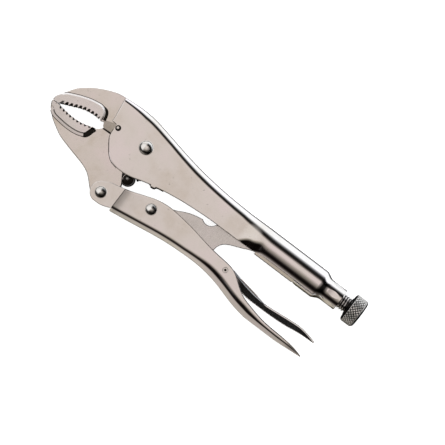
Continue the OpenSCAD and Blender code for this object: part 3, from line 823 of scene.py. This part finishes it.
def flanked(top, bottom, w, r, soft, pause, slope, length, arc=7, rest=12):
    """Like section(), with a corner of a tight bend r, a straight flank and a soft bend with a pause."""
    s, c, sm, cm = sin(slope), cos(slope), sin(DARK_TILT), cos(DARK_TILT)
    k = min(1.0, (w - 0.15) / (soft * (1 - c) + length * s + pause * sm + r * c),
            0.8 * (top - bottom) / (r * (1 - s) + length * c + pause * cm + soft * s))
    r, soft, length, pause = r * k, soft * k, length * k, pause * k
    z = w - soft * (1 - c) - length * s - pause * sm - r * c
    pts = [(top, max(0.02, z) * k / 2) for k in (0, 1)]

    def bend(start, radius, t0, t1, n):
        y0, z0 = start[0] - radius * sin(t0), start[1] - radius * cos(t0)
        turn = [t0 + (t1 - t0) * i / n for i in range(n + 1)]
        return [(y0 + radius * sin(t), z0 + radius * cos(t)) for t in turn]

    def straight(start, t, d):
        return [(start[0] - d * cos(t) * i / 2, start[1] + d * sin(t) * i / 2) for i in (1, 2)]
    pts += bend((top, z), r, pi / 2, slope, arc)
    pts += straight(pts[-1], slope, length)
    pts += bend(pts[-1], soft, slope, DARK_TILT, arc // 2)[1:]
    pts += straight(pts[-1], DARK_TILT, max(pause, 0.02))
    pts += bend(pts[-1], soft, DARK_TILT, 0.0, arc // 2 + 1)[1:]
    y1 = pts[-1][0]
    return pts + [(y1 + (bottom - y1) * k / rest, w) for k in range(1, rest + 1)]


def low_station(x):
    """A channel open upwards, which stands off its ears at the front and narrows at the tail."""
    depth = max(interp(LOW_LINE, x) - interp(LOW_DEEPER, x), LOW_EDGE + 0.02)
    rim_y = interp(LOW_UPPER, x)
    f = 0.75 * (1 - min(1.0, max(0.0, (x - 5.3) / 6.5))) ** 2 + 0.8 * (1 - ease(x, 5.3, 24))
    w = (LOW_W + f) * (1 - 0.42 * ease(x, 150, 164))
    half = flanked(-depth, -rim_y, w, 2.2, interp(LOW_SOFT, x), interp(LOW_PAUSE, x),
                   radians(interp(LOW_SLOPE, x)), interp(LOW_FLANK, x))
    thick = SHEET if x < 130 else max(0.75, min(SHEET, (rim_y - depth) * 0.42))
    return [(x, -y, z) for y, z in both_sides(half)], thick


xs = [5.2, 5.5, *np.arange(5.9, 10.2, 0.4), *np.arange(11, 92, 1.6), *np.arange(92.5, 164, 1.1), 163.9]
lower = skin("handle_lower_channel", [low_station(x) for x in xs], SHEET_STEEL, flip=-1.0)
claim(lower, "handle", "plated_steel", "lower_handle")
arc = ring(P_JAW, 7.4, range(118, 262, 6))
low_edge = curve([(EAR_X, -45.6, 0), (2, -47), (-2, -48.1), (*arc[-1], 0)])[::-1]
top_edge = curve([
    (EAR_X, -29.75, 0), (0, -31), (-5, -32.1), (arc[0][0] + 1.4, arc[0][1] + 0.6), (*arc[0], 0)])
ear = with_round(arc + low_edge[1:-1], 0.45) + with_round([(EAR_X, -45.6), (EAR_X, -29.75)], 0.02)
ear += with_round(top_edge[1:-1], 0.45)
pair("handle_ear", ear, CHEEK_IN, UP_W, SHEET_STEEL, "handle", "plated_steel", seg=4)

# ------ link and release lever
END_R = 3.5  # the link's round end, which bears on the screw's nose
end_x, end_y = LINK_X - END_R, AXIS_Y
link = ring(P_LINK, 6, range(118, 262, 8))
start = link[0]
link += curve([
    (*link[-1], 0), (29, -35.2), (45, -33.4), (60, -31), (72, -28.4), (76, -26.7, 0), (76.3, -24.5),
    (77.3, -22), (78.7, -20.2), (82, -18), (86, -16.3), (90, -14.7), (94, -12.8), (104, -9.6), (112, -7),
    (end_x - 1, end_y - 3.35, 0)])[1:]
link += ring((end_x, end_y), END_R, range(-100, 105, 10))
link += curve([
    (end_x - 1, end_y + 3.3, 0), (108, -0.4), (96, -2), (84, -5), (74, -9), (67.4, -12.3, 0)])[1:]
link += ring((61.8, -10.4), 5.8, range(-19, -130, -8))
link += curve([
    (58.0, -14.8, 0), (50, -16.5), (44, -19), (40, -21), (32, -23.2), (start[0] + 2, start[1] + 0.6),
    (*start, 0)])[:-1]
link = with_round(link, 0.5)
plate("toggle_link_plate", link, LINK_T, LINK_STEEL, 4, "link", "plated_steel", "toggle_link")

LEVER_TOP = curve([
    (77, -30.9), (79, -30.1), (82, -29.5), (88, -29.1), (93, -29), (96, -29.3), (100, -30.2),
    (106, -31.3), (112, -32.3), (118, -33.3), (124, -34.5), (130, -34.2), (136, -33.6), (142, -33),
    (148, -32.5), (152, -32.3), (156, -32.7), (160, -33.4), (165.6, -34.7)])
LEVER_LOW = curve([
    (77, -32.2), (83, -34.4), (88, -36), (93, -36), (98, -35.9), (104, -37.2), (111.5, -38.5),
    (122, -38.7), (134, -38.5), (144, -37.8), (150, -36.9), (156, -36.2), (162, -36), (165.6, -35.9)])
DRAFT = tan(radians(22))  # how fast the lever narrows towards its lower edge


def lever_station(x):
    """A narrow channel open downwards. Its sides slope in from the middle on, below a ledge at the tail."""
    top, low = interp(LEVER_TOP, x), interp(LEVER_LOW, x)
    tall = top - low
    w = LEVER_W * (1 - 0.35 * ease(x, 152, 166)) * (1 - 0.3 * ease(-x, -80, -76.8))
    r = min(2.0, tall * 0.5)
    tail = ease(x, 114, 128)
    r = r + (0.35 - r) * tail
    ledge = top - 1.05 * tail
    slope = DRAFT * ease(x, 92, 108)
    half = []
    for y, z in section(top, low, w, r, 0.0, 0.0, arc=9, rest=16):
        lean = slope * (min(y, ledge) - low) + 0.1 * max(0.0, y - ledge)
        half.append((y, max(0.0, z - lean * min(1, z / (w * 0.5)))))
    return [(x, y, z) for y, z in both_sides(half)], min(1.5 - 0.8 * ease(x, 92, 104), tall * 0.4)


xs = [*np.arange(77, 165.5, 1.0), 165.5]
lever = skin("release_lever_channel", [lever_station(x) for x in xs], LEVER_STEEL, rim=0.12)
claim(lever, "lever", "plated_steel", "release_lever")


# ------ rivets and pin
def rivet(name, p, hr, hh, z, body, cad, power=2.5):
    """A rivet of a radius hr and a height hh over the sheet, with painted shade: dark lines round the feet of
    its domes.
    A higher power makes the crown flatter."""
    centre = (p[0], p[1], 0)
    half = [(z - 0.6, hr + 0.55), (z + 0.1, hr + 0.55), (z + 0.26, hr + 0.4), (z + 0.3, hr + 0.05)]
    for k in range(1, 15):
        r = sin(pi / 2 * (1 - k / 14))
        half.append((z + 0.3 + (hh - 0.3) * (1 - r ** power), max(POINT, hr * r)))
    turned(name, mirrored(half), centre, RIVET_STEEL, body, "plated_steel", cad, sharp=40, turns=56)
    # painted shade: a near-black ring round the foot of the dome, on each side
    line = [(z - 0.2, hr - 0.15), (z - 0.2, hr + 0.2), (z + 0.33, hr + 0.2), (z + 0.36, hr + 0.1),
            (z + 0.36, hr - 0.15)]
    for side, end in ((1, "_ring_top"), (-1, "_ring_under")):
        turned(name + end, [(side * h, r) for h, r in line], centre, DARK_SHADE_STEEL, body, "plated_steel",
               sharp=40, turns=56, closed=True)


rivet("rivet_main_dome", (0, 0), 4.35, 1.98, UP_W, "frame", "main_rivet")
rivet("rivet_jaw_dome", P_JAW, 3.55, 1.7, UP_W, "handle", "jaw_rivet", 1.8)
rivet("rivet_link_dome", P_LINK, 3.45, 1.64, LOW_W, "handle", "link_rivet", 1.8)

under = [(-0.2, POINT), (-0.1, 0.75), (-0.2, 0.85), (-0.2, 1.6), (0, 1.8)]
over = [(0, 1.8), (0.2, 1.6), (0.2, 0.85), (-0.5, 0.75), (-0.6, POINT)]
turned("lever_pin_head", [(h - LOW_W, r) for h, r in under] + [(h + LOW_W, r) for h, r in over], P_LEVER,
       TURNED_STEEL, "handle", "turned_steel", "lever_pin", turns=40)
# the dimple is a flat near-black disc of painted shade; the seam is a grey ring round the head
for name, r0, r1, mat in (("seam", 1.84, 2.0, PEG_STEEL), ("dimple_shade", 0.02, 0.9, DARK_SHADE_STEEL)):
    turned("lever_pin_" + name, mirrored([(LOW_W + 0.03, r1), (LOW_W + 0.03, r0)]), P_LEVER, mat,
           "handle", "turned_steel", turns=40, closed=True)

# ------ adjusting screw
LEAD = 1.75  # the thread's pitch
THREAD_R, ROOT_R, CORE_R = 5.3, 4.55, 4.4


def thread_radius(along, a):
    u = (along / LEAD - a / (2 * pi)) % 1.0
    return ROOT_R + (THREAD_R - ROOT_R) * min(1.0, max(0.0, 1.35 - abs(u - 0.5) * 3.4))


x0, x1 = SHANK[0][0] + 0.9, KNOB[0][0] - 1.0
n = int((x1 - x0) / 0.16)
rows = [(SHANK[0][0], POINT), (SHANK[0][0], CORE_R)] + [(x0 + (x1 - x0) * k / n, None) for k in range(n + 1)]
rows += [(KNOB[0][0] + 0.3, 4.5), (KNOB[0][0] + 0.3, POINT)]
verts, turns = [], 72
for x, r in rows:
    for k in range(turns):
        a = 2 * pi * k / turns
        rr = thread_radius(x - x0, a) if r is None else r
        verts.append((x, AXIS_Y + rr * cos(a), rr * sin(a)))
screw = build("screw_thread", verts, wrap(len(rows), turns), THREAD_STEEL, sharp=50, weighted=False)
claim(screw, "screw", "turned_steel", "screw_shank")

n0, n1 = NOSE[0][0], NOSE[1][0]
prof = [(n0, POINT)]
prof += [(n0 + 1.6 * (1 - cos(a)), CORE_R * sin(a)) for a in map(radians, range(8, 91, 8))]
prof += [(n0 + 1.7, CORE_R), (n1 - 0.1, CORE_R), (n1, 4.3), (n1, POINT)]
turned("screw_nose_turned", prof, AXIS, TURNED_STEEL, "screw_carriage", "turned_steel", "screw_nose",
       axis="x", turns=48)

# knob with a crossed knurl
kx0, kx1, kr = KNOB[0][0], KNOB[1][0], KNOB[1][2]
KNURL_ROWS, LOBES, KNURL_PITCH = 84, 28, 2.2
prof = [(kx0, POINT), (kx0, 6.2), (kx0 + 0.5, 7.0), (kx0 + 0.6, kr - 1.1), (kx0 + 1.0, kr - 0.6)]
prof += [(kx0 + 1.4 + (kx1 - kx0 - 2.8) * k / KNURL_ROWS, kr - 0.12) for k in range(KNURL_ROWS + 1)]
prof += [(kx1 - 0.9, kr - 0.5), (kx1 - 0.3, kr - 1.2), (kx1, kr - 1.7), (kx1, 3.2), (kx1 - 0.25, 2.8),
         (kx1 - 0.25, POINT)]


def knurl(h, a, r):
    """Crossed grooves, shallower at the rims."""
    if r < kr - 0.2:
        return r
    s = (h - kx0) / KNURL_PITCH
    t = a * LOBES / (2 * pi)
    groove = min(abs((t + s) % 1.0 - 0.5) * 2, abs((t - s) % 1.0 - 0.5) * 2, 0.4) / 0.4
    rim = min(1.0, (h - kx0 - 1.3) / 0.5, (kx1 - 1.3 - h) / 0.5)
    return r + 0.1 - 0.75 * (1 - groove) * max(0.25, rim)


turned("knob_knurled", prof, AXIS, KNURL_STEEL, "screw", "turned_steel", "screw_knob", sharp=60,
       weighted=False, axis="x", turns=LOBES * 14, radial=knurl)
for s in frame["nodes"]["screw_nut"].material_slots:
    s.material = TURNED_STEEL

# ------ return spring
WIRE_R, COIL_R, LOOP_R, COILS, COIL_STEPS = 0.72, 2.4, 4.3, 15, 18
ANCHOR = (23.2, 0.8, 0)  # the tab in the upper handle
hook = np.array(PEG[:2])
d = np.array(ANCHOR[:2]) - hook
LONG = float(norm(d))
d /= LONG
side = np.array([-d[1], d[0]])


def at(along, across, z):
    p = hook + d * along + side * across
    return (p[0], p[1], z)


def tube(name, path, r, mat, sides=10):
    """A round wire along a path."""
    p = np.array(path)
    t = np.gradient(p, axis=0)
    t /= norm(t, axis=1)[:, None]
    u = np.cross(t[0], [0.0, 0.0, 1.0])
    u /= norm(u)
    verts = []
    for i in range(len(p)):
        u = u - t[i] * np.dot(u, t[i])
        u /= norm(u)
        w = np.cross(t[i], u)
        for k in range(sides):
            a = 2 * pi * k / sides
            verts.append(tuple(p[i] + r * (cos(a) * u + sin(a) * w)))
    ends = [tuple(range(sides))[::-1], tuple(range(len(verts) - sides, len(verts)))]
    return build(name, verts, wrap(len(p), sides) + ends, mat, sharp=60, weighted=False)


turn = np.linspace(radians(25), radians(352), 34)
path = [at(LOOP_R * cos(a), LOOP_R * sin(a), COIL_R - 0.25 * k / 34) for k, a in enumerate(turn)]
s0, s1, n = LOOP_R + 0.6, LONG - 3.0, COILS * COIL_STEPS
for k in range(n + 1):
    a = pi / 2 - 2 * pi * k / COIL_STEPS
    path.append(at(s0 + (s1 - s0) * k / n, COIL_R * cos(a), COIL_R * sin(a)))
path += [at(s1 + 0.4, 0.9, 1.2), at(s1 + 0.7, 0.3, 0.4)]
turn = np.linspace(radians(180), radians(-120), 22)
path += [at(LONG + 2.3 * cos(a), 2.3 * sin(a), 0) for a in turn]
spring = tube("return_spring_coil", path, WIRE_R, SPRING_STEEL)
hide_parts("return_spring")
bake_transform(spring)
tab = mirrored([(5.9, 1.1), (5.9, POINT)])
turned("spring_tab", tab, ANCHOR, SHEET_STEEL, "frame", "plated_steel", turns=24)


# ------ floor, light, camera
def floor(size):
    s, z = size / 2, cad_box[0][2] - 0.0001
    me = bpy.data.meshes.new("floor")
    me.from_pydata([(-s, -s, z), (s, -s, z), (s, s, z), (-s, s, z)], [], [(0, 1, 2, 3)])
    m, nt, b = new_material("floor_paper")
    feed(nt, b, {"Base Color": (0.93, 0.93, 0.93, 1), "Roughness": 0.9, "Specular IOR Level": 0.0,
                 "Emission Color": (1, 1, 1, 1), "Emission Strength": 0.8})
    me.materials.append(m)
    o = put("floor", me)
    o.visible_glossy = False


PLATING = (0.86, 0.83, 0.81)  # the share of a card's light that plating mirrors


def lit(r, g, b):
    """Light that makes bright plating look this colour."""
    return tuple((((c / 255 + 0.055) / 1.055) ** 2.4) / base for c, base in zip((r, g, b), PLATING))


def around(degrees):
    """The place on a ramp of an angle round the tool's length, from straight up towards +Y."""
    return degrees / 360 + 0.5


# the cards round the tool: an angle, and the colour that plating facing that card shows
CARDS = [
    (-180, 45, 45, 42), (-142, 46, 43, 32), (-130, 100, 96, 82), (-119, 176, 168, 150),
    (-111, 187, 178, 164), (-100, 190, 181, 169), (-88, 170, 161, 152), (-79, 120, 113, 106),
    (-72, 70, 64, 59), (-65, 26, 21, 19), (-57, 9, 5, 4), (-47, 14, 10, 9), (-40, 45, 40, 36),
    (-33, 90, 84, 77), (-25, 125, 118, 109), (-15, 158, 149, 139), (-8, 190, 179, 171),
    (0, 205, 194, 186), (10, 209, 198, 190), (18, 205, 194, 186), (23, 160, 150, 143), (30, 72, 66, 62),
    (36, 22, 20, 18), (46, 20, 19, 18), (53, 50, 49, 48), (62, 130, 130, 130), (70, 220, 220, 220),
    (78, 254, 254, 254), (124, 254, 254, 254), (134, 160, 160, 160), (146, 60, 60, 60), (180, 45, 45, 42)]
# along the tool: darker towards the knob's end, and dark beyond the jaws' end
FADE = [
    (0.0, 0.03), (0.2, 0.05), (0.27, 1), (0.53, 1), (0.60, 0.72), (0.70, 0.42), (0.80, 0.22),
    (0.865, 0.012), (1.0, 0.02)]
# the white card over the back of the tool runs its whole length
KEEP = [(-180, 0), (58, 0), (74, 1), (130, 1), (145, 0)]
# a bright card over the jaws' end, along the tool and round it
GLOW_ALONG = [(0.0, 0), (0.04, 0.9), (0.16, 1), (0.30, 0.95), (0.38, 0.45), (0.43, 0)]
GLOW_ROUND = [(-54, 0), (-40, 1), (26, 1), (36, 0.75), (56, 0.75), (70, 1), (85, 1), (100, 0)]


def studio():
    w = bpy.data.worlds.new("studio")
    w.use_nodes = True
    nt = w.node_tree
    nt.nodes.clear()
    place = node(nt, "SeparateXYZ", in_Vector=node(nt, "TexCoord").outputs["Generated"]).outputs
    turn = calc(nt, "MULTIPLY_ADD", calc(nt, "ARCTAN2", place["Y"], place["Z"]), 0.5 / pi, 0.5)
    along = calc(nt, "MULTIPLY_ADD", place["X"], 0.5, 0.5)
    cards = ramp(nt, turn, [(around(a), lit(r, g, b)) for a, r, g, b in CARDS])
    keep = greys(nt, turn, [(around(a), v) for a, v in KEEP])
    whole = blend(nt, "LIGHTEN", greys(nt, along, FADE), keep)
    glow_round = greys(nt, turn, [(around(a), v) for a, v in GLOW_ROUND])
    glow = blend(nt, "MULTIPLY", greys(nt, along, GLOW_ALONG), glow_round)
    bands = blend(nt, "MIX", blend(nt, "MULTIPLY", cards, whole), (0.95, 0.93, 0.91, 1), glow)
    light = node(nt, "Background", in_Color=bands, in_Strength=1.0)
    node(nt, "OutputWorld", in_Surface=light.outputs["Background"])
    return w


def area(name, p, size, energy):
    """A soft lamp aimed at the frame's origin, which the plating does not mirror."""
    lamp = bpy.data.lights.new(name, "AREA")
    lamp.energy, lamp.shape, lamp.size, lamp.size_y = energy, "RECTANGLE", *size
    o = put(name, lamp)
    o.location = p
    o.rotation_euler = (-Vector(p)).to_track_quat("-Z", "Y").to_euler()
    o.visible_glossy = False


VIEW_FAR, VIEW_WIDE, SENSOR = 1.5, 0.2928, 36  # metres from the tool, metres seen across, millimetres
VIEW_MIDDLE, VIEW_TURN = (69.6, -8.7, 6), radians(37.2)
scene = bpy.context.scene
floor(6.0)
scene.world = studio()
area("soft_top", (0.2, 0.5, 1.4), (1.6, 1.6), 14)
cam = bpy.data.cameras.new("camera")
cam.type, cam.sensor_width, cam.lens = "PERSP", SENSOR, SENSOR * VIEW_FAR / VIEW_WIDE
camera = put("camera", cam)
c = world(VIEW_MIDDLE)
camera.location = (c.x, c.y, c.z + VIEW_FAR)
camera.rotation_euler = (0, 0, VIEW_TURN)
scene.camera = camera
scene.view_settings.view_transform = "Standard"
